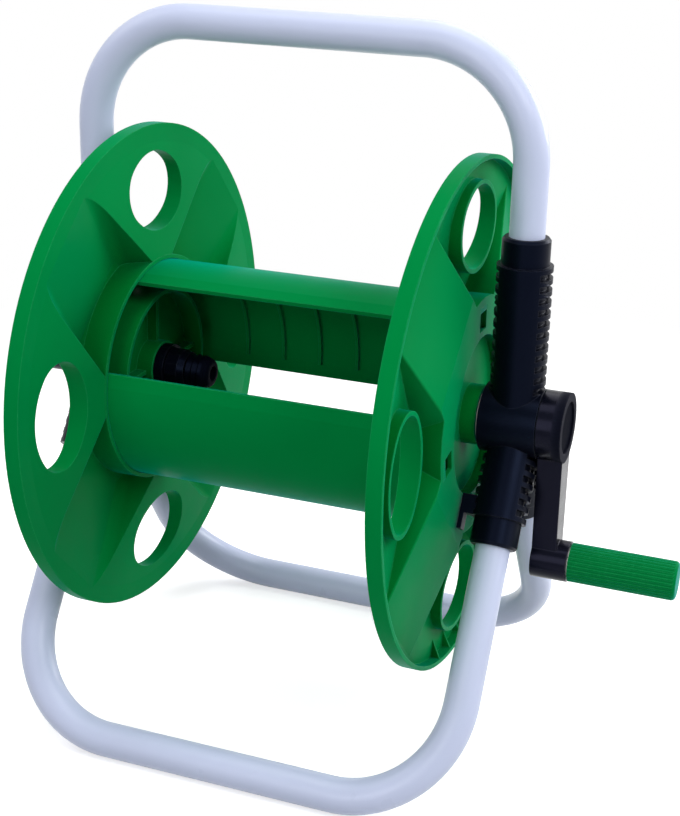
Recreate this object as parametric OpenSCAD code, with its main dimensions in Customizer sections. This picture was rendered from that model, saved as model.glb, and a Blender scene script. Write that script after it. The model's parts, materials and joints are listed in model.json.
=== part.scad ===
// Garden hose reel. A drum between two moulded flanges turns in two plastic
// brackets, which sit on a frame of bent steel tube and carry a crank.
// The axle lies along X, the crank is on the +X side, the floor is z = 0
// and the origin is on the floor below the middle of the drum.

/* [Tube frame] */
// Outside diameter of the steel tube
tube_d = 20; // [17:0.5:21]
// Wall of the steel tube
tube_wall = 1.2; // [0.8:0.1:2]
// Bend radius at the middle of the tube
bend_r = 63; // [45:1:75]
// Height of the axle above the floor
axle_h = 201; // [190:1:230]
// Height of the carrying bar above the axle
handle_rise = 209; // [190:1:250]
// Lean of each leg from upright, in degrees
leg_lean = 32.8; // [28:0.2:38]
// Depth below the axle at which the front and rear legs would meet
leg_meet = 12; // [8:1:14]

/* [Flanges] */
// Outside diameter of a flange
flange_d = 296; // [290:1:310]
// Distance between the inner faces of the two rims
drum_l = 195; // [160:1:240]
// Distance from a rim's inner face to the middle of the side tubes
side_gap = 35.5; // [35:0.5:42]
// Thickness of the moulded plate
plate_t = 2.5; // [2:0.1:3]
// Width of the rim, measured along the axle
rim_w = 8.7; // [7:0.1:12]
// Width of the flat ring inside the rim
rim_flat = 8; // [6:0.5:10]
// How far the plate is dished towards the drum at the hub
dish = 5.8; // [3:0.1:8]
// Length of an oval hole, measured round the flange
hole_long = 63; // [56:1:66]
// Width of an oval hole, measured out from the axle
hole_wide = 47; // [40:1:48]
// Radius of the tight ends of an oval hole
hole_end_r = 19; // [16:0.5:20]
// Distance from the axle to the middle of an oval hole
hole_reach = 109; // [106:1:112]
// How far the collar round a hole stands out of the flange
collar_out = 7.5; // [5:0.5:9]
// Turn of the flange pattern from upright, in degrees
pattern_turn = -1.5; // [-10:0.5:10]
// Half the width of the floor of a blank panel
panel_half = 33; // [28:0.5:36]
// Depth of a blank panel at the hub
panel_rise = 11; // [8:0.5:13]
// Slope of the side walls of a blank panel, in degrees
panel_draft = 20; // [10:1:25]
// Radius of the fillet along a blank panel's floor
panel_fillet = 9; // [4:1:12]
// How far the inner cup stands in past the hub wall
cup_lip = 2.4; // [0:0.1:4]

/* [Drum] */
// Outside diameter of the two drum shells
drum_d = 133; // [126:1:136]
// Wall of a drum shell
shell_t = 2.6; // [2:0.1:3]
// Part of the circle that a shell covers, in degrees
shell_span = 127; // [110:1:140]
// Direction of the middle of the rear shell above level, in degrees
shell_mid = 50.5; // [45:0.5:55]
// Width of the flat lip along each edge of a shell
lip_w = 8; // [6:0.5:12]
// Turn of the lip towards the axle, in degrees
lip_turn = 6; // [4:1:20]
// Number of stiffening ribs inside a shell
rib_count = 6; // [3:1:8]
// Distance between stiffening ribs
rib_pitch = 25.3; // [18:0.1:27]
// Height of a stiffening rib
rib_h = 3; // [2:0.5:4]
// Thickness of a stiffening rib
rib_t = 1.8; // [1.2:0.1:2.5]

/* [Brackets] */
// Diameter over the fins of a bracket's sockets
socket_d = 31.6; // [30:0.2:32]
// Diameter of the smooth collar at the mouth of a socket
collar_d = 27.2; // [26:0.2:29]
// Length of the smooth collar
collar_l = 15.5; // [12:0.5:18]
// Length of the finned part of the handle socket, from the axle
upper_l = 91.5; // [80:0.5:100]
// Length of the finned part of a leg socket, from where the legs meet
lower_l = 47.5; // [44:0.5:56]
// Distance from one fin to the next
fin_pitch = 6.55; // [5.5:0.05:8]
// Thickness of a fin
fin_t = 3; // [2:0.1:4]
// Half the angle of the smooth front and rear faces, in degrees
smooth_half = 48; // [40:1:60]
// Diameter of a bracket's axle hub
hub_d = 40; // [38:1:44]

/* [Axle] */
// Diameter of the turning journals
journal_d = 18; // [17:0.5:20]
// Thickness of the head on each half axle
head_t = 6; // [4:0.5:8]
// Wall of a bearing bush
bush_wall = 2; // [1.5:0.1:2.5]
// Radial clearance of a turning fit
run_fit = 0.05; // [0.02:0.01:0.08]
// Clearance round a piece that is fixed in its seat
seat_fit = 0.1; // [0.05:0.05:0.2]
// End play between a turning piece and the piece beside it
end_play = 0.3; // [0.2:0.1:0.5]

/* [Crank] */
// Distance from the axle to the grip
crank_throw = 82; // [75:1:110]
// Diameter of the crank's boss
boss_d = 40; // [36:1:44]
// Thickness of the crank arm along the axle
arm_t = 14.4; // [13:0.1:18]
// Width of the arm at the boss
arm_w = 19; // [16:0.5:24]
// Width of the arm at the grip
arm_end_w = 16; // [12:0.5:18]
// Diameter of the grip
grip_d = 22.6; // [20:0.2:30]
// Length of the grip
grip_l = 62; // [50:1:90]
// Number of flutes round the grip
flutes = 30; // [16:1:36]
// Diameter of the steel pin that the grip turns on
pin_d = 8; // [6:0.5:9]

/* [Water fitting] */
// Diameter of the water way
water_d = 9; // [7:0.5:10]
// Length of the threaded tap nipple outside the frame
nipple_l = 16; // [12:0.5:20]
// Diameter of the tap nipple
nipple_d = 16; // [14:0.5:17]
// Diameter of the nut inside the drum
nut_d = 25; // [24:0.5:28]
// Length of the nut inside the drum
nut_l = 12; // [10:0.5:16]
// Length of the hose barb past the nut
barb_l = 15; // [13:0.5:28]
// Number of ridges on the hose barb
barb_count = 3; // [2:1:6]
// Diameter over the ridges of the hose barb
barb_d = 21; // [18:0.5:22]

/* [Hidden] */
$fn = 48;

plastic_green = [0.02, 0.53, 0.27];
plastic_black = [0.05, 0.05, 0.08];
tube_white = [0.86, 0.87, 0.95];
bush_white = [0.85, 0.85, 0.82];
steel_grey = [0.62, 0.63, 0.65];
rubber_black = [0.03, 0.03, 0.03];

// Frame lines
rim_x = drum_l / 2;
leg_x = rim_x + side_gap;
foot_y = (axle_h - leg_meet - tube_d / 2) * tan(leg_lean);
leg_run = (axle_h - leg_meet - tube_d / 2) / cos(leg_lean);

// Flange radii and levels, levels measured outwards from the rim's inner face
rim_r = flange_d / 2;
seat_gap = 0.3;
seat_r = drum_d / 2 + seat_gap;
hub_wall_r = seat_r + plate_t;
cup_in = 20;
cup_r = drum_d / 2 - cup_in;
flat_r = rim_r - plate_t - rim_flat;
web_z = panel_rise;
panel_top = panel_rise + plate_t;
cup_floor_z = 4;
cup_floor_t = 3;
cup_rib_in = 2.5;
flange_boss_out = 2.7;
flange_boss_z = panel_top + flange_boss_out;
flange_boss_in = 6.5;
drive_sq = journal_d + 1;
drive_corner_r = drive_sq / sqrt(2);
flange_boss_r = drive_corner_r + 4;
inner_boss_r = drive_corner_r + 2.5;
panel_edge = 1.2;
panel_angles = [for (i = [0:3]) 45 + 90 * i + pattern_turn];
hole_angles = [for (i = [0:3]) 90 * i + pattern_turn];

// Drum shells
shell_l = drum_l + 2 * web_z - seat_fit;
shell_r = drum_d / 2;
tab_w = 12;
tab_swing = 40;
tab_out = plate_t;
tab_root = 5;
tab_t = 3;
tab_slot_in = 11;
tab_r = shell_r - shell_t - tab_t + 0.5;

// Brackets and journals, x measured from the middle of the drum
bush_lip = 1.5;
bush_lip_w = 5;
hub_in_x = rim_x + flange_boss_z + bush_lip + end_play;
hub_out_x = leg_x + socket_d / 2 + 0.2;
bush_r = journal_d / 2 + bush_wall;
socket_r = socket_d / 2;
lug_t = min(5, side_gap - socket_r - panel_top - 1);
socket_wall = 2.6;
groove_r = tube_d / 2 + socket_wall;
tube_stop_up = 36;
tube_stop_low = 22;
screw_r = 1.6;
screw_l = 7.5;
screw_head_r = 3.6;
screw_head_h = 2;
screw_big_r = 2.5;
spindle_thread = 16;

// Crank
boss_x = hub_out_x + end_play;
crank_out_x = boss_x + arm_t;
spindle_sq = 12;
spindle_sq_l = 7;
screw_floor = 2.5;
screw_seat_z = spindle_sq_l + seat_fit + screw_floor;
cap_rim = 5;
cap_r = boss_d / 2 - cap_rim;
cap_t = 1.2;
cap_sink = 1.2;
flute_r = 0.9;
flute_depth = 0.35;
grip_base_r = grip_d / 2 + 0.6;
grip_base_l = 6.6;
grip_base_x = crank_out_x + grip_base_l;
washer_t = 0.5;
grip_x = grip_base_x + washer_t + end_play;
pin_floor = 4;
pin_in_x = boss_x + pin_floor;
pin_sink = 6;
pin_out_x = grip_x + grip_l - pin_sink;
pin_head_in = 6;
pin_head_t = 2;

// Water fitting, on the left side, x counted as positive to the left
head_x = rim_x - flange_boss_in - head_t;
nut_wall = 2.5;
stem_r = nut_d / 2 - nut_wall;
nut_lip = 2.5;
nut_in_x = head_x - end_play - nut_l;
barb_collar_t = 3.5;
seal_t = 1.5;
stem_in_x = nut_in_x + nut_lip + barb_collar_t + seal_t;
ridge_h = 1.5;
barb_neck_r = barb_d / 2 - ridge_h;
barb_tip_x = nut_in_x - barb_l;
barb_edge = 3;
spigot_r = nipple_d / 2;
spigot_x = hub_out_x + end_play;
spigot_l = 15;
clip_in = 5;
clip_x = spigot_x + clip_in;
clip_t = 1.8;
clip_groove = 1;
clip_groove_r = spigot_r - clip_groove;
clip_leg_y = clip_groove_r + 0.2;
clip_slot = clip_t + 2 * seat_fit;
o_ring_d = 1.4;
o_ring_groove_r = spigot_r - o_ring_d;
o_ring_in = 10.5;
o_ring_x = spigot_x + o_ring_in;
inlet_wall = 4;
inlet_r = spigot_r + inlet_wall;
inlet_x = spigot_x + end_play;
inlet_play = 0.5;
inlet_floor_x = spigot_x + spigot_l + inlet_play;
inlet_floor_t = 3;
nipple_x = inlet_floor_x + inlet_floor_t;
nipple_groove = 3;
nipple_groove_in = 7;
nipple_groove_h = 1.5;

// Puts children with their z axis on the axle, pointing to +X from x
module on_axle(x = 0) {
    translate([x, 0, axle_h]) rotate([0, 90, 0]) children();
}

// Right-hand piece as drawn, left-hand piece mirrored
module side(s) {
    if (s > 0) children();
    else mirror([1, 0, 0]) children();
}

// Turns children so that their x axis points up from level by an angle
module facing(a) {
    rotate([0, 0, 90 + a]) children();
}

// Ring or tube with its axis on z
module tube_ring(r_out, r_in, h) {
    difference() {
        cylinder(r = r_out, h = h);
        translate([0, 0, -1]) cylinder(r = r_in, h = h + 2);
    }
}

// Bent bar: the bar's middle is the origin and both legs rise along z
module bent_bar(d, leg) {
    straight = leg_x - bend_r;
    translate([-straight, 0, 0]) rotate([0, 90, 0]) cylinder(d = d, h = 2 * straight);
    for (s = [0, 1]) mirror([s, 0, 0]) {
        translate([straight, 0, bend_r]) rotate([90, 0, 0]) rotate([0, 0, -90])
            rotate_extrude(angle = 90) translate([bend_r, 0]) circle(d = d);
        translate([leg_x, 0, bend_r]) cylinder(d = d, h = leg - bend_r);
    }
}

module bent_tube(leg) {
    difference() {
        bent_bar(tube_d, leg);
        bent_bar(tube_d - 2 * tube_wall, leg + 1);
    }
}

module handle_tube() {
    color(tube_white) difference() {
        translate([0, 0, axle_h + handle_rise]) rotate([180, 0, 0])
            bent_tube(handle_rise - tube_stop_up);
        for (s = [1, -1]) side(s) at_handle_screw() screw_hole();
    }
}

module leg_tube(f) {
    color(tube_white) difference() {
        translate([0, f * foot_y, tube_d / 2]) rotate([f * leg_lean, 0, 0])
            bent_tube(leg_run - tube_stop_low);
        for (s = [1, -1]) side(s) at_leg_screw(f) screw_hole();
    }
}

module front_leg_tube() {
    leg_tube(-1);
}

module rear_leg_tube() {
    leg_tube(1);
}

// Places children in a socket's frame, z along the tube and away from the axle
module at_upper() {
    translate([leg_x, 0, axle_h]) children();
}

module at_lower(s) {
    translate([leg_x, 0, axle_h - leg_meet]) rotate([180 + s * leg_lean, 0, 0]) children();
}

// Gaps between the fins, on the inner and outer sides of a socket
module fin_gaps(first, last) {
    gap = fin_pitch - fin_t;
    count = floor((last - first) / fin_pitch);
    for (s = [0, 180]) rotate([0, 0, s - 90 + smooth_half])
        rotate_extrude(angle = 180 - 2 * smooth_half)
            for (i = [0:count - 1])
                translate([groove_r, last - fin_t - gap - i * fin_pitch])
                    square([socket_r - groove_r + 1, gap]);
}

// Finned socket with its collar
module socket(length) {
    cylinder(r = socket_r, h = length);
    translate([0, 0, length]) cylinder(d = collar_d, h = collar_l - 1.5);
    translate([0, 0, length + collar_l - 1.5])
        cylinder(d1 = collar_d, d2 = collar_d - 2.4, h = 1.5);
}

// Places children on the side of a collar, z into the tube
module at_collar_screw(length, turn) {
    rotate([0, 0, turn]) translate([-collar_d / 2, 0, length + collar_l / 2])
        rotate([0, 90, 0]) children();
}

// Screw places of the right-hand bracket, behind the handle and below the legs
module at_handle_screw() {
    at_upper() at_collar_screw(upper_l, -90) children();
}

module at_leg_screw(f) {
    at_lower(f) at_collar_screw(lower_l, 90) children();
}

module at_tube_screws() {
    at_handle_screw() children();
    for (f = [1, -1]) at_leg_screw(f) children();
}

module screw_hole() {
    translate([0, 0, -2]) cylinder(r = screw_r + seat_fit, h = tube_d / 2 + 2);
}

// Web in the fork between the two leg sockets
module fork_web() {
    web_l = 30;
    web_w = socket_d - 6;
    translate([leg_x - web_w / 2, -fin_t / 2, axle_h - leg_meet - web_l]) cube([web_w, fin_t, web_l]);
}

// Forked lug on the inner side of the front leg socket
module socket_lug() {
    lug_w = 8;
    lug_l = 20;
    lug_root = 5;
    prong_l = 9;
    prong_t = lug_t / 2;
    translate([-socket_r - lug_t, 1, lower_l + prong_l - lug_l]) difference() {
        cube([lug_t + lug_root, lug_w, lug_l]);
        translate([prong_t, -1, lug_l - prong_l]) cube([lug_t + lug_root, lug_w + 2, lug_l]);
    }
}

module bracket(s) {
    bore_r = tube_d / 2 + seat_fit;
    color(plastic_black) side(s) difference() {
        union() {
            difference() {
                union() {
                    at_upper() socket(upper_l);
                    at_lower(1) socket(lower_l);
                    at_lower(-1) socket(lower_l);
                }
                at_upper() fin_gaps(hub_d / 2 - 6, upper_l);
                at_lower(1) fin_gaps(6, lower_l);
                at_lower(-1) fin_gaps(6, lower_l);
            }
            on_axle(hub_in_x) cylinder(d = hub_d, h = hub_out_x - hub_in_x);
            fork_web();
            at_lower(-1) socket_lug();
        }
        at_upper() translate([0, 0, tube_stop_up]) cylinder(r = bore_r, h = upper_l);
        for (f = [1, -1]) at_lower(f) translate([0, 0, tube_stop_low])
            cylinder(r = bore_r, h = lower_l);
        on_axle(hub_in_x - 1) cylinder(r = bush_r + seat_fit, h = hub_out_x - hub_in_x + 2);
        at_tube_screws() screw_hole();
    }
}

module left_bracket() {
    bracket(-1);
}

module right_bracket() {
    bracket(1);
}

// Flanged bearing bush, pressed into a bracket's hub
module bush(s) {
    color(bush_white) side(s) on_axle(hub_in_x) difference() {
        union() {
            cylinder(r = bush_r, h = hub_out_x - hub_in_x);
            translate([0, 0, -bush_lip]) cylinder(r = bush_r + bush_lip_w, h = bush_lip);
        }
        translate([0, 0, -bush_lip - 1])
            cylinder(d = journal_d + 2 * run_fit, h = hub_out_x - hub_in_x + bush_lip + 2);
    }
}

module left_bush() {
    bush(-1);
}

module right_bush() {
    bush(1);
}

// Self-tapping screws that hold the three tubes in a bracket
module tube_screws(s) {
    color(steel_grey) side(s) at_tube_screws() {
        cylinder(r = screw_r, h = screw_l);
        translate([0, 0, -screw_head_h]) cylinder(r = screw_head_r, h = screw_head_h);
    }
}

module left_tube_screws() {
    tube_screws(-1);
}

module right_tube_screws() {
    tube_screws(1);
}

// Oval of four arcs, long way along y, grown by a margin
module oval(h, grow = 0) {
    a = hole_long / 2 - hole_end_r;
    b = hole_wide / 2 - hole_end_r;
    offset_x = (a * a - b * b) / (2 * b);
    side_r = offset_x + hole_wide / 2 + grow;
    end_r = hole_end_r + grow;
    cut_y = a * side_r / norm([a, offset_x]);
    for (s = [1, -1]) translate([0, s * a, 0]) cylinder(r = end_r, h = h);
    intersection() {
        translate([-offset_x, 0, 0]) cylinder(r = side_r, h = h);
        translate([offset_x, 0, 0]) cylinder(r = side_r, h = h);
        translate([-side_r, -cut_y, 0]) cube([2 * side_r, 2 * cut_y, h]);
    }
}

// Section of the round parts of a flange: x is the radius, y the level
module flange_section() {
    // Rim and the flat ring inside it
    translate([rim_r - plate_t, 0]) square([plate_t, rim_w]);
    translate([flat_r, 0]) square([rim_r - flat_r, plate_t]);
    // Dished plate
    polygon([[hub_wall_r - plate_t, -dish], [flat_r, 0], [flat_r + 1, 0],
        [flat_r + 1, plate_t], [flat_r, plate_t], [hub_wall_r - plate_t, plate_t - dish]]);
    // Wall round the drum's seat, web, cup wall and cup floor
    translate([seat_r, -dish]) square([plate_t, dish + panel_top]);
    translate([cup_r, web_z]) square([seat_r - cup_r + 1, plate_t]);
    translate([cup_r, -dish - cup_lip]) square([plate_t, dish + cup_lip + panel_top]);
    translate([0, cup_floor_z]) square([cup_r + 1, cup_floor_t]);
    // Boss for the axle, outside and inside the cup floor
    translate([0, cup_floor_z]) square([flange_boss_r, flange_boss_z - cup_floor_z]);
    translate([0, -flange_boss_in]) square([inner_boss_r, flange_boss_in + cup_floor_z + 1]);
}

// Space on the outer side of the dished plate, between the hub wall and the rim
module outer_space(top) {
    rotate_extrude() polygon([[seat_r, -dish], [flat_r, 0], [rim_r - 1, 0],
        [rim_r - 1, top], [seat_r, top]]);
}

// Channel section of a blank panel, grown outwards by a wall. The outer edges are
// crisp, the inner ones have the wide fillet
function panel_points(wall) =
    let (
        reach = 40,
        half = panel_half + wall * (1 - sin(panel_draft)) / cos(panel_draft),
        fillet = wall > 0 ? panel_edge : panel_fillet,
        turn = 90 - panel_draft,
        back = fillet * tan(turn / 2),
        steps = wall > 0 ? 3 : 9
    )
    [
        for (i = [0:steps]) let (a = turn * i / steps)
            [half - back + fillet * sin(a), wall - fillet * (1 - cos(a))],
        [half + reach * tan(panel_draft), wall - reach],
        [-half - reach * tan(panel_draft), wall - reach],
        for (i = [steps:-1:0]) let (a = turn * i / steps)
            [-half + back - fillet * sin(a), wall - fillet * (1 - cos(a))]
    ];

// Blank panel: a channel that gets deeper from the rim to the hub, along x
module panel(wall) {
    slope = atan(panel_rise / (flat_r - hub_wall_r));
    translate([flat_r, 0, 0]) rotate([0, slope, 0]) translate([-rim_r, 0, 0])
        rotate([90, 0, 90]) linear_extrude(height = 2 * rim_r) polygon(panel_points(wall));
}

// Thin gussets between the ring and the rim, below the lowest hole
module rim_gussets() {
    gusset_t = 1.2;
    gusset_l = 10;
    for (a = [-12.6, -4.2, 4.2, 12.6]) rotate([0, 0, a])
        translate([rim_r - plate_t, gusset_t / 2, plate_t]) rotate([90, 0, 0])
            linear_extrude(height = gusset_t) polygon([[1, -1], [1, rim_w - plate_t - 1],
                [0, rim_w - plate_t - 1], [-gusset_l, 0], [-gusset_l, -1]]);
}

// Ribs across the cup, between its wall and the boss
module cup_ribs() {
    for (a = [0, 90, 180, 270]) rotate([0, 0, a])
        translate([inner_boss_r - 1, -plate_t / 2, -cup_rib_in])
            cube([cup_r - inner_boss_r + 2, plate_t, cup_rib_in + cup_floor_z + 1]);
}

// Outside of a blank panel, up to the level of the hub wall
module panel_outside() {
    intersection() {
        panel(plate_t);
        outer_space(panel_top);
        translate([0, -rim_r, -rim_r]) cube(2 * rim_r);
    }
}

// Inside of a blank panel, open towards the drum
module panel_pocket() {
    difference() {
        intersection() {
            panel(0);
            translate([0, -rim_r, -2 * rim_r + panel_rise]) cube(2 * rim_r);
        }
        translate([0, 0, -2 * rim_r]) cylinder(r = hub_wall_r, h = 4 * rim_r);
    }
}

// Slots in the web, with a tab of a drum shell at the outer end of each
module tab_slots() {
    slot_w = tab_w + 2 * seat_fit;
    for (m = [0, 180], t = [-tab_swing, tab_swing]) facing(shell_mid + m + t)
        translate([tab_r - tab_slot_in, -slot_w / 2, web_z - 1])
            cube([tab_slot_in + tab_t + seat_fit, slot_w, plate_t + 2]);
}

// Square hole or square bar along z
module square_bar(width, h) {
    translate([-width / 2, -width / 2, 0]) cube([width, width, h]);
}

module flange(s) {
    color(plastic_green) side(s) on_axle(rim_x) difference() {
        union() {
            difference() {
                union() {
                    rotate_extrude() flange_section();
                    for (a = panel_angles) facing(a) panel_outside();
                }
                for (a = panel_angles) facing(a) panel_pocket();
            }
            for (a = hole_angles) facing(a) intersection() {
                translate([hole_reach, 0, -dish]) oval(dish + collar_out, plate_t);
                outer_space(rim_w);
            }
            facing(hole_angles[3]) rim_gussets();
            cup_ribs();
        }
        for (a = hole_angles) facing(a)
            translate([hole_reach, 0, -dish - 1]) oval(dish + rim_w + 5);
        tab_slots();
        translate([0, 0, -flange_boss_in - 1])
            square_bar(drive_sq + 2 * seat_fit, flange_boss_in + flange_boss_z + 2);
    }
}

module left_flange() {
    flange(-1);
}

module right_flange() {
    flange(1);
}

// Flat lip that carries on from the edge of a shell and turns inwards
module shell_lip() {
    inner = shell_r - shell_t;
    turn = [-sin(lip_turn), cos(lip_turn)] * lip_w;
    root = shell_t / 8;
    linear_extrude(height = shell_l) polygon([[inner + root, -root], [inner, 0],
        [inner + turn.x, turn.y], [shell_r + turn.x, turn.y], [shell_r, 0], [shell_r - root, -root]]);
}

// One half of the drum, centred on the x axis, its axis on z from z = 0
module drum_shell(mid) {
    lip_angle = atan(lip_w / shell_r);
    span = shell_span - 2 * lip_angle;
    rib_in = shell_r - shell_t - rib_h;
    first = shell_l / 2 - (rib_count - 1) * rib_pitch / 2 - rib_t / 2;
    color(plastic_green) on_axle(-shell_l / 2) facing(mid) {
        rotate([0, 0, -span / 2]) rotate_extrude(angle = span) {
            translate([shell_r - shell_t, 0]) square([shell_t, shell_l]);
            for (i = [0:rib_count - 1])
                translate([rib_in, first + i * rib_pitch]) square([rib_h + 0.5, rib_t]);
            for (z = [0, shell_l - rib_t]) translate([rib_in, z]) square([rib_h + 0.5, rib_t]);
        }
        for (m = [0, 1]) mirror([0, m, 0]) rotate([0, 0, span / 2]) shell_lip();
        for (t = [-tab_swing, tab_swing], z = [-tab_out, shell_l - tab_root])
            rotate([0, 0, t]) translate([tab_r, -tab_w / 2, z])
                cube([tab_t, tab_w, tab_out + tab_root]);
    }
}

module front_drum_shell() {
    drum_shell(shell_mid + 180);
}

module rear_drum_shell() {
    drum_shell(shell_mid);
}

// Head, square drive and round journal shared by both axles
module axle_body() {
    boss_end = rim_x + flange_boss_z;
    on_axle(head_x) cylinder(r = drive_corner_r + 1, h = head_t);
    on_axle(head_x + head_t) square_bar(drive_sq, boss_end - head_x - head_t);
    on_axle(boss_end) cylinder(d = journal_d, h = hub_out_x - boss_end);
}

// Solid axle on the crank side, put in from inside the drum
module drive_spindle() {
    color(plastic_black) difference() {
        union() {
            axle_body();
            on_axle(hub_out_x) square_bar(spindle_sq, boss_x + spindle_sq_l - hub_out_x);
        }
        on_axle(boss_x + spindle_sq_l - spindle_thread)
            cylinder(r = screw_big_r + seat_fit, h = spindle_thread + 1);
    }
}

// Hollow axle on the water side, with the threaded stem and the spigot
module water_axle() {
    spigot_end = spigot_x + spigot_l;
    color(plastic_black) side(-1) difference() {
        union() {
            on_axle(stem_in_x) cylinder(r = stem_r, h = head_x - stem_in_x);
            axle_body();
            on_axle(hub_out_x) cylinder(r = spigot_r, h = spigot_end - hub_out_x);
        }
        on_axle(stem_in_x - 1) cylinder(d = water_d, h = spigot_end - stem_in_x + 2);
        on_axle(clip_x) tube_ring(spigot_r + 1, clip_groove_r, clip_slot);
        on_axle(o_ring_x) tube_ring(spigot_r + 1, o_ring_groove_r, o_ring_d + 2 * seat_fit);
    }
}

// Union nut that clamps the hose barb to the axle's stem
module axle_nut() {
    smooth_l = nut_l * 0.35;
    color(plastic_black) side(-1) on_axle(nut_in_x) difference() {
        union() {
            cylinder(d1 = nut_d - 3, d2 = nut_d - 1, h = smooth_l);
            translate([0, 0, smooth_l]) cylinder(d = nut_d, h = nut_l - smooth_l, $fn = 12);
        }
        translate([0, 0, nut_lip]) cylinder(r = stem_r + seat_fit, h = nut_l);
        translate([0, 0, -1]) cylinder(r = barb_neck_r + seat_fit, h = nut_l);
    }
}

// Flat seal between the stem and the barb
module barb_seal() {
    color(rubber_black) side(-1) on_axle(stem_in_x - seal_t)
        tube_ring(stem_r - seat_fit, water_d / 2, seal_t);
}

// Ridged barb that the reel's own hose is pushed on
module hose_barb() {
    ridge = (barb_l - barb_edge) / barb_count;
    neck_l = nut_in_x + nut_lip - barb_tip_x;
    color(plastic_black) side(-1) difference() {
        union() {
            on_axle(nut_in_x + nut_lip) cylinder(r = stem_r - seat_fit, h = barb_collar_t);
            on_axle(barb_tip_x) rotate_extrude() {
                square([barb_neck_r - barb_edge, neck_l]);
                translate([0, barb_edge]) square([barb_neck_r, neck_l - barb_edge]);
                translate([barb_neck_r - barb_edge, barb_edge]) circle(r = barb_edge);
            }
            for (i = [0:barb_count - 1]) on_axle(barb_tip_x + barb_edge + i * ridge)
                cylinder(r1 = barb_neck_r + 0.2, r2 = barb_d / 2, h = ridge * 0.8);
        }
        on_axle(barb_tip_x - 1) cylinder(d = water_d, h = stem_in_x - barb_tip_x + 2);
    }
}

// Ring that seals the spigot in the swivelling inlet
module axle_o_ring() {
    color(rubber_black) side(-1) on_axle(o_ring_x + seat_fit + o_ring_d / 2)
        rotate_extrude() translate([spigot_r - o_ring_d / 2, 0]) circle(d = o_ring_d);
}

module crank_arm() {
    color(plastic_black) on_axle(boss_x) difference() {
        union() {
            cylinder(d = boss_d, h = arm_t);
            linear_extrude(height = arm_t) polygon([[0, -arm_w / 2], [crank_throw, -arm_end_w / 2],
                [crank_throw, arm_end_w / 2], [0, arm_w / 2]]);
            translate([crank_throw, 0, 0]) cylinder(r = grip_base_r, h = grip_base_x - boss_x);
        }
        translate([0, 0, -1]) square_bar(spindle_sq + 2 * seat_fit, spindle_sq_l + seat_fit + 1);
        cylinder(r = screw_big_r + seat_fit, h = arm_t);
        translate([0, 0, screw_seat_z]) cylinder(r = cap_r - 2, h = arm_t);
        translate([0, 0, arm_t - cap_t - cap_sink]) cylinder(r = cap_r + seat_fit, h = arm_t);
        translate([crank_throw, 0, pin_in_x - boss_x])
            cylinder(d = pin_d + 2 * seat_fit, h = grip_base_x - pin_in_x + 1);
    }
}

// Screw that holds the crank on the spindle
module crank_screw() {
    tip_z = spindle_sq_l - spindle_thread + 1;
    color(steel_grey) on_axle(boss_x) {
        translate([0, 0, tip_z]) cylinder(r = screw_big_r, h = screw_seat_z - tip_z);
        translate([0, 0, screw_seat_z]) cylinder(r = 2 * screw_big_r, h = 2);
    }
}

// Cap over the crank's screw
module crank_cap() {
    color(plastic_black) on_axle(crank_out_x - cap_t - cap_sink) cylinder(r = cap_r, h = cap_t);
}

// Puts children on the grip's axis
module on_grip(x) {
    translate([0, 0, -crank_throw]) on_axle(x) children();
}

// Steel pin that is pressed into the arm and carries the grip
module grip_pin() {
    color(steel_grey) on_grip(pin_in_x) {
        cylinder(d = pin_d, h = pin_out_x - pin_in_x);
        translate([0, 0, pin_out_x - pin_in_x - pin_head_in]) cylinder(d = pin_d + 1, h = pin_head_t);
    }
}

module grip_washer() {
    color(steel_grey) on_grip(grip_base_x) tube_ring(pin_d / 2 + 5, pin_d / 2 + seat_fit, washer_t);
}

module crank_grip() {
    edge = 2.5;
    bore = pin_d + 2 * run_fit;
    color(plastic_green) on_grip(grip_x) difference() {
        rotate_extrude() {
            square([grip_d / 2 - edge, grip_l]);
            square([grip_d / 2, grip_l - edge]);
            translate([grip_d / 2 - edge, grip_l - edge]) circle(r = edge);
        }
        for (i = [0:flutes - 1]) rotate([0, 0, i * 360 / flutes])
            translate([grip_d / 2 + flute_r - flute_depth, 0, -1]) cylinder(r = flute_r, h = grip_l + 2);
        translate([0, 0, -1]) cylinder(d = bore, h = pin_out_x - grip_x + 1.5);
        translate([0, 0, pin_out_x - grip_x - pin_head_in - end_play])
            cylinder(d = bore + 1, h = pin_head_t + 2 * end_play);
    }
}

// Swivelling tap connector outside the left bracket
module inlet_nipple() {
    color(plastic_black) side(-1) difference() {
        union() {
            on_axle(inlet_x) cylinder(r = inlet_r, h = nipple_x - inlet_x);
            on_axle(nipple_x) cylinder(d = nipple_d, h = nipple_l - 2);
            on_axle(nipple_x + nipple_l - 2) cylinder(d1 = nipple_d, d2 = nipple_d - 3, h = 2);
        }
        on_axle(inlet_x - 1) cylinder(r = spigot_r + run_fit, h = inlet_floor_x - inlet_x + 1);
        on_axle(inlet_floor_x - 1) cylinder(d = water_d, h = nipple_l + 10);
        on_axle(nipple_x + nipple_l - nipple_groove_in)
            tube_ring(nipple_d, nipple_d / 2 - nipple_groove_h, nipple_groove);
        for (m = [0, 1]) mirror([0, m, 0]) on_axle(clip_x)
            translate([-2 * inlet_r, clip_leg_y - seat_fit, 0])
                cube([4 * inlet_r, clip_slot, clip_slot]);
    }
}

// Hairpin clip that keeps the inlet on the spigot
module inlet_clip() {
    color(steel_grey) side(-1) on_axle(clip_x + seat_fit) {
        for (m = [0, 1]) mirror([0, m, 0]) translate([-inlet_r - 2, clip_leg_y, 0])
            cube([2 * inlet_r + 1, clip_t, clip_t]);
        translate([-inlet_r - clip_t - 0.5, -clip_leg_y - clip_t, 0])
            cube([clip_t, 2 * (clip_leg_y + clip_t), clip_t]);
    }
}

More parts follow.
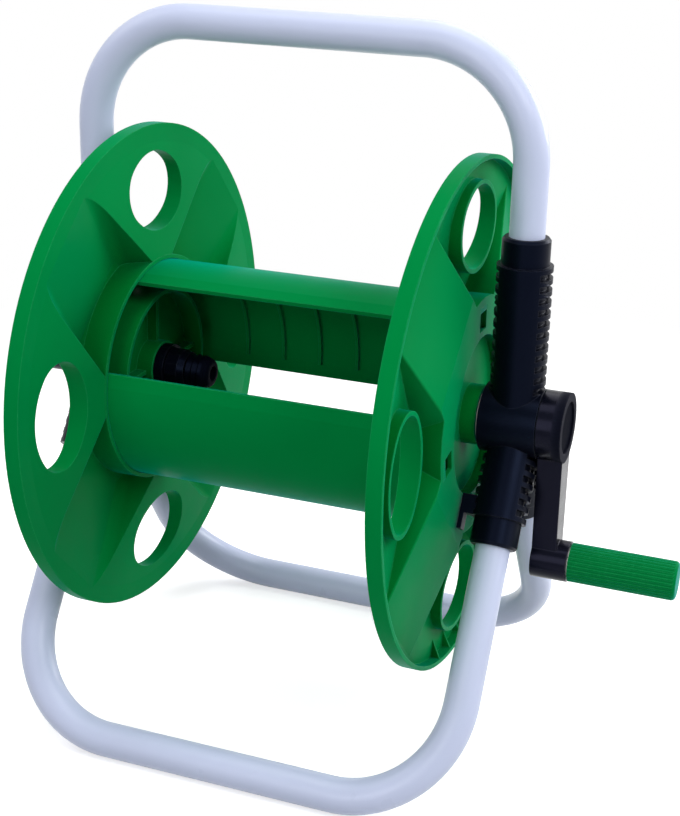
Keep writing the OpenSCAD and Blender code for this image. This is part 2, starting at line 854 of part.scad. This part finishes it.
handle_tube();
front_leg_tube();
rear_leg_tube();
left_bracket();
right_bracket();
left_bush();
right_bush();
left_tube_screws();
right_tube_screws();
left_flange();
right_flange();
front_drum_shell();
rear_drum_shell();
drive_spindle();
water_axle();
axle_nut();
barb_seal();
hose_barb();
axle_o_ring();
crank_arm();
crank_screw();
crank_cap();
grip_pin();
grip_washer();
crank_grip();
inlet_nipple();
inlet_clip();
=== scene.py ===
"""Looks of the garden hose reel: materials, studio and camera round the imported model."""

import json
import math

import bpy
from mathutils import Matrix, Vector


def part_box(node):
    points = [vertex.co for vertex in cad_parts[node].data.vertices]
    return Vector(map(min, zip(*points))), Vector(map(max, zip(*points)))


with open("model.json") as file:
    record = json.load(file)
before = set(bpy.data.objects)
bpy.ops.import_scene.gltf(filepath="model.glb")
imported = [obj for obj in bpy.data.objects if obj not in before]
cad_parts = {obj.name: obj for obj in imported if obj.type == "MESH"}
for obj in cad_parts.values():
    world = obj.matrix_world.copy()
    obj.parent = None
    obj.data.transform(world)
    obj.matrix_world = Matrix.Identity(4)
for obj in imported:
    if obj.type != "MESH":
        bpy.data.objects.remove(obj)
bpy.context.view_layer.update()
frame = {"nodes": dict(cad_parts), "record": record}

# Camera fitted to the photograph, in metres and radians
EYE = Vector((0.3198, -0.7533, 0.4916))
YAW, PITCH, ROLL = 0.3257, 0.323, 0.0367
LENS_MM = 63.98
SHIFT = (-0.0797, -0.0552)
CLIP_END = 50

# Base colours, linear
GREEN = (0.0004, 0.252, 0.053)
# Lighter edge colour of the green: wear, and a painted highlight along the edges
GREEN_WEAR_AND_HIGHLIGHT = (0.035, 0.42, 0.16)
# Painted shade that the flanges darken to in their own hollows
GREEN_PAINTED_SHADE = (0.0003, 0.165, 0.016)
# The green darkened as painted shade for the fluted grip
GRIP_GREEN_PAINTED_SHADE = (0.0004, 0.2, 0.042)
BLACK = (0.0016, 0.0022, 0.006)
# Lighter edge colour of the black: wear, and a painted highlight along the edges
BLACK_WEAR_AND_HIGHLIGHT = (0.03, 0.031, 0.04)
TUBE_WHITE = (0.635, 0.70, 0.93)
TUBE_SCUFF = (0.42, 0.43, 0.47)
BUSH_WHITE = (0.72, 0.70, 0.64)
ZINC = (0.55, 0.55, 0.56)
RUBBER = (0.008, 0.008, 0.009)
WHITE = (1.0, 1.0, 1.0)

# Tints of the plastics' shine
GREEN_SHINE = (0.0, 0.8, 1.0)
BLACK_SHINE = (0.35, 0.5, 1.0)
CRANK_SHINE = (0.6, 0.6, 1.0)

# Lengths on the reel, in metres
BOSS_RIM = 0.005        # width of the crank boss round its cap
# Reach of the painted shade in a piece's hollows
PAINTED_SHADE_REACH = 0.04     # how far a hollow's walls count as near
SCUFF_HEIGHT = 0.006    # how high scuffs reach on the foot bars

# Roughness of a surface that is left matt
MATT = 0.8

# Floor: half its side, where it turns white to the camera, in metres, and its levels
FLOOR_HALF = 9.0
FADE_START, FADE_END = 0.4, 0.9
FLOOR_GLOW = 0.6
FLOOR_BOUNCE = (0.53, 0.53, 0.53)

# Strength of the world on the reel, of 1 where it is seen
WORLD_FILL = 0.03

# Lamps: name, place in metres, diameter in metres, power in watts
LAMP_AIM = Vector((0, 0, 0.2))
LAMPS = (
    ("top", (-0.1, -0.1, 2.0), 1.6, 16.5),
    ("top back", (0.0, 1.3, 1.7), 1.4, 7.5),
    ("right", (2.0, 0.1, 0.7), 1.2, 6.5),
    ("right front", (1.5, -0.9, 1.5), 1.1, 16),
    ("right back", (1.3, 1.5, 0.9), 1.2, 25),
    ("front", (-0.2, -2.2, 0.9), 1.4, 12.5),
    ("left", (-1.6, -0.4, 1.4), 1.2, 7.5),
)


def put_in_scene(name, data):
    piece = bpy.data.objects.new(name, data)
    bpy.context.scene.collection.objects.link(piece)
    return piece


def make_camera():
    right = Vector((math.cos(YAW), math.sin(YAW), 0))
    level = Vector((-math.sin(YAW), math.cos(YAW), 0))
    up = Vector((0, 0, 1))
    ahead = level * math.cos(PITCH) - up * math.sin(PITCH)
    above = level * math.sin(PITCH) + up * math.cos(PITCH)
    side = right * math.cos(ROLL) + above * math.sin(ROLL)
    top = above * math.cos(ROLL) - right * math.sin(ROLL)
    data = bpy.data.cameras.new("camera")
    data.lens = LENS_MM
    data.shift_x, data.shift_y = SHIFT
    data.clip_end = CLIP_END
    camera = put_in_scene("camera", data)
    turn = Matrix((side, top, -ahead)).transposed().to_4x4()
    camera.matrix_world = Matrix.Translation(EYE) @ turn
    bpy.context.scene.camera = camera


def shade(colour, factor):
    return tuple(part * factor for part in colour)


class Nodes:
    """Short names for building the node tree of a material or of the world."""

    def __init__(self, owner, output="OutputMaterial"):
        owner.use_nodes = True
        self.owner = owner
        self.tree = owner.node_tree
        self.tree.nodes.clear()
        self.output = self.add(output)

    def put(self, socket, value):
        """Links a socket to an output, or sets its own number, vector or colour."""
        if isinstance(value, bpy.types.NodeSocket):
            self.tree.links.new(value, socket)
        elif socket.type == "RGBA":
            socket.default_value = (*value, 1)
        else:
            socket.default_value = value

    def add(self, kind, **inputs):
        node = self.tree.nodes.new("ShaderNode" + kind)
        for key, value in inputs.items():
            self.put(node.inputs[key.replace("_", " ")], value)
        return node

    def coords(self):
        return self.add("TexCoord").outputs["Object"]

    def remap(self, value, low, high, to_low=0.0, to_high=1.0):
        node = self.add("MapRange", Value=value, From_Min=low, From_Max=high,
                        To_Min=to_low, To_Max=to_high)
        return node.outputs["Result"]

    def noise(self, scale, detail=3.0, rough=0.5):
        node = self.add("TexNoise", Scale=scale, Detail=detail, Roughness=rough,
                        Vector=self.coords())
        return node.outputs["Fac"]

    def cloud(self, scale, detail=3.0, low=0.0, high=1.0):
        """Noise whose common values spread over low to high."""
        return self.remap(self.noise(scale, detail), 0.3, 0.7, low, high)

    def math(self, operation, first, second):
        node = self.add("Math")
        node.operation = operation
        self.put(node.inputs[0], first)
        self.put(node.inputs[1], second)
        return node.outputs[0]

    def measure(self, operation, first, second=(0.0, 0.0, 0.0)):
        """A vector operation whose result is a number."""
        node = self.add("VectorMath")
        node.operation = operation
        self.put(node.inputs[0], first)
        self.put(node.inputs[1], second)
        return node.outputs["Value"]

    def mix(self, factor, first, second):
        node = self.add("Mix")
        node.data_type = "RGBA"
        for index, value in ((0, factor), (6, first), (7, second)):
            self.put(node.inputs[index], value)
        return node.outputs[2]

    def shaders(self, kind, first, second, factor=None):
        node = self.add(kind)
        slots = [socket for socket in node.inputs if socket.type == "SHADER"]
        self.put(slots[0], first.outputs[0])
        self.put(slots[1], second.outputs[0])
        if factor is not None:
            self.put(node.inputs["Fac"], factor)
        return node

    def rounded(self, radius):
        node = self.add("Bevel", Radius=radius)
        node.samples = 6
        return node.outputs["Normal"]

    def edge_mask(self, radius):
        """1 where the surface bends sharply, 0 on flats and gentle curves."""
        flat = self.add("NewGeometry").outputs["Normal"]
        bend = self.measure("DOT_PRODUCT", self.rounded(radius), flat)
        return self.remap(bend, 0.999, 0.93)

    def painted_shade_mask(self, most):
        """Painted shade: 0 on open surfaces, rising to most in the piece's own hollows."""
        node = self.add("AmbientOcclusion", Distance=PAINTED_SHADE_REACH)
        node.samples = 8
        node.only_local = True
        return self.remap(node.outputs["AO"], 0.97, 0.6, 0.0, most)

    def white_rays(self):
        """1 for rays that show the white background, 0 for those that light the reel."""
        path = self.add("LightPath").outputs
        direct = self.math("MAXIMUM", path["Is Camera Ray"], path["Is Glossy Ray"])
        return self.math("MAXIMUM", direct, path["Is Transmission Ray"])

    def bump(self, height, strength, distance):
        return self.add("Bump", Strength=strength, Distance=distance, Height=height)

    def finish(self, shader):
        self.put(self.output.inputs["Surface"], shader.outputs[0])
        return self.owner


def moulded(name, colour, wear_and_highlight_colour, rough, edge=0.0006, specular=0.5, shine=WHITE, sheen=0.0,
            dull=None, painted_shade=None):
    """Injection-moulded plastic: flow tint, fine grain, softened edges lightened by wear and by a
    painted highlight.

    edge is the radius that its edges look rounded to, in metres.
    dull is the centre and radius of a ball in which the surface is left matt.
    painted_shade is the colour painted into the piece's own hollows as shade."""
    n = Nodes(bpy.data.materials.new(name))
    tint = n.mix(n.cloud(9.0, 2.0), shade(colour, 0.93), shade(colour, 1.07))
    # Painted shade: the colour darkens in the piece's own hollows, where shade falls
    if painted_shade:
        tint = n.mix(n.painted_shade_mask(0.65), tint, painted_shade)
    scratches = n.remap(n.noise(420.0, 4.0, 0.65), 0.45, 0.75, 0.245, 0.63)
    # Edges lightened towards the edge colour: partly wear, partly a painted highlight
    wear_and_highlight = n.math("MULTIPLY", n.edge_mask(edge * 1.4), scratches)
    polish = n.cloud(60.0, 3.0, rough - 0.04, rough + 0.05)
    if dull:
        centre, reach = dull
        away = n.measure("DISTANCE", n.coords(), centre)
        polish = n.math("MAXIMUM", polish, n.remap(away, reach * 1.04, reach, 0.0, MATT))
    grain = n.bump(n.noise(1900.0, 2.0), 0.06, 0.00025)
    n.put(grain.inputs["Normal"], n.rounded(edge))
    return n.finish(n.add("BsdfPrincipled", Base_Color=n.mix(wear_and_highlight, tint, wear_and_highlight_colour),
                          Roughness=polish, Normal=grain.outputs["Normal"],
                          Specular_IOR_Level=specular, Specular_Tint=shine,
                          Sheen_Weight=sheen, Sheen_Roughness=0.35, Sheen_Tint=shine))


def green_plastic(name, colour=GREEN, sheen=0.25, painted_shade=None):
    return moulded(name, colour, GREEN_WEAR_AND_HIGHLIGHT, rough=0.36, edge=0.0007,
                   specular=0.01, shine=GREEN_SHINE, sheen=sheen, painted_shade=painted_shade)


def black_plastic(name, wear_and_highlight_colour=BLACK_WEAR_AND_HIGHLIGHT, dull=None):
    return moulded(name, BLACK, wear_and_highlight_colour, rough=0.34, specular=0.1, shine=BLACK_SHINE, dull=dull)


def crank_plastic(name, rough, specular, dull=None):
    return moulded(name, BLACK, BLACK_WEAR_AND_HIGHLIGHT, rough, edge=0.0008,
                   specular=specular, shine=CRANK_SHINE, dull=dull)


def powder_coat(name):
    """Pale lavender coat on steel tube: faint orange peel, scuffs where the bars meet the floor."""
    n = Nodes(bpy.data.materials.new(name))
    tint = n.mix(n.cloud(7.0, 2.0), shade(TUBE_WHITE, 0.97), shade(TUBE_WHITE, 1.02))
    height = n.add("SeparateXYZ", Vector=n.coords()).outputs["Z"]
    near_floor = n.remap(height, SCUFF_HEIGHT, 0.0)
    scratches = n.remap(n.noise(180.0, 5.0, 0.7), 0.45, 0.6, 0.0, 0.7)
    scuff = n.math("MULTIPLY", near_floor, scratches)
    peel = n.bump(n.noise(620.0, 2.0), 0.05, 0.0004)
    return n.finish(n.add("BsdfPrincipled", Base_Color=n.mix(scuff, tint, TUBE_SCUFF),
                          Roughness=n.cloud(45.0, 3.0, 0.27, 0.36),
                          Normal=peel.outputs["Normal"],
                          Specular_IOR_Level=0.3, Coat_Weight=0.1, Coat_Roughness=0.18))


def zinc_plate(name):
    """Plated steel: fine spangle and slightly rounded edges."""
    n = Nodes(bpy.data.materials.new(name))
    spangle = n.mix(n.cloud(500.0), shade(ZINC, 0.85), ZINC)
    return n.finish(n.add("BsdfPrincipled", Base_Color=spangle, Metallic=1.0,
                          Roughness=n.cloud(900.0, 2.0, 0.25, 0.42),
                          Normal=n.rounded(0.0003)))


def dull_rubber(name):
    """Black rubber with a pale bloom."""
    n = Nodes(bpy.data.materials.new(name))
    bloom = n.remap(n.noise(300.0), 0.4, 0.7)
    grain = n.bump(n.noise(2500.0, 2.0), 0.1, 0.0002)
    return n.finish(n.add("BsdfPrincipled", Base_Color=n.mix(bloom, RUBBER, shade(RUBBER, 2.5)),
                          Roughness=n.remap(bloom, 0.0, 1.0, 0.55, 0.7),
                          Normal=grain.outputs["Normal"]))


def crank_side(node, rim=0.0):
    """Centre and radius of a round end that faces the crank side, with rim added."""
    low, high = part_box(node)
    centre = (high[0], (low[1] + high[1]) / 2, (low[2] + high[2]) / 2)
    return centre, (high[2] - low[2]) / 2 + rim


def dress_nodes():
    """Gives every CAD node the finish of its record slot, or one of its own."""
    finishes = {
        "tube_paint": powder_coat("powder coat"),
        "black_plastic": black_plastic("black plastic"),
        "green_plastic": green_plastic("green plastic"),
        "bush_plastic": moulded("bush plastic", BUSH_WHITE, BUSH_WHITE, rough=0.42),
        "steel": zinc_plate("zinc plate"),
        "rubber": dull_rubber("rubber"),
    }
    # The flanges get painted shade in their hollows
    flange = green_plastic("flange plastic", painted_shade=GREEN_PAINTED_SHADE)
    shell = green_plastic("shell plastic", sheen=0.45)
    own = {
        "left_flange": flange,
        "right_flange": flange,
        "front_drum_shell": shell,
        "rear_drum_shell": shell,
        # The grip's darker green is painted shade
        "crank_grip": green_plastic("grip plastic", GRIP_GREEN_PAINTED_SHADE, sheen=0.6),
        "crank_arm": crank_plastic("crank plastic", rough=0.2, specular=0.12,
                                   dull=crank_side("crank_cap", BOSS_RIM)),
        "crank_cap": crank_plastic("cap plastic", rough=0.7, specular=0.01),
        "hose_barb": black_plastic("barb plastic", BLACK, dull=crank_side("hose_barb")),
    }
    for part in frame["record"]["subparts"]:
        mesh = frame["nodes"][part["node"]].data
        mesh.materials.clear()
        mesh.materials.append(own.get(part["node"], finishes[part["material_slot"]]))


def make_floor():
    """Pale floor that keeps a soft shadow near the reel and shows white to the camera further off."""
    corners = [(x * FLOOR_HALF, y * FLOOR_HALF, 0) for x, y in ((-1, -1), (1, -1), (1, 1), (-1, 1))]
    mesh = bpy.data.meshes.new("floor")
    mesh.from_pydata(corners, [], [(0, 1, 2, 3)])
    floor = put_in_scene("floor", mesh)
    n = Nodes(bpy.data.materials.new("floor"))
    paper = n.cloud(3.0, 2.0, 0.86, 0.88)
    grey = n.add("CombineColor", Red=paper, Green=paper, Blue=paper).outputs["Color"]
    near = n.shaders("AddShader", n.add("BsdfDiffuse", Color=grey),
                     n.add("Emission", Color=WHITE, Strength=FLOOR_GLOW))
    far = n.add("Emission", Color=WHITE, Strength=1.0)
    fade = n.remap(n.measure("LENGTH", n.coords()), FADE_START, FADE_END)
    seen = n.shaders("MixShader", near, far, fade)
    bounce = n.add("BsdfDiffuse", Color=FLOOR_BOUNCE)
    mesh.materials.append(n.finish(n.shaders("MixShader", bounce, seen, n.white_rays())))


def area_light(name, place, size, power):
    data = bpy.data.lights.new(name, "AREA")
    data.shape = "DISK"
    data.size = size
    data.energy = power
    light = put_in_scene(name, data)
    light.location = place
    light.rotation_euler = (LAMP_AIM - Vector(place)).to_track_quat("-Z", "Y").to_euler()


def make_studio():
    """White world that hardly lights the reel, and soft lamps round it."""
    bpy.context.scene.view_settings.view_transform = "Standard"
    n = Nodes(bpy.data.worlds.new("studio"), "OutputWorld")
    level = n.remap(n.white_rays(), 0.0, 1.0, WORLD_FILL, 1.0)
    bpy.context.scene.world = n.finish(n.add("Background", Color=WHITE, Strength=level))
    for lamp in LAMPS:
        area_light(*lamp)


make_camera()
dress_nodes()
make_floor()
make_studio()
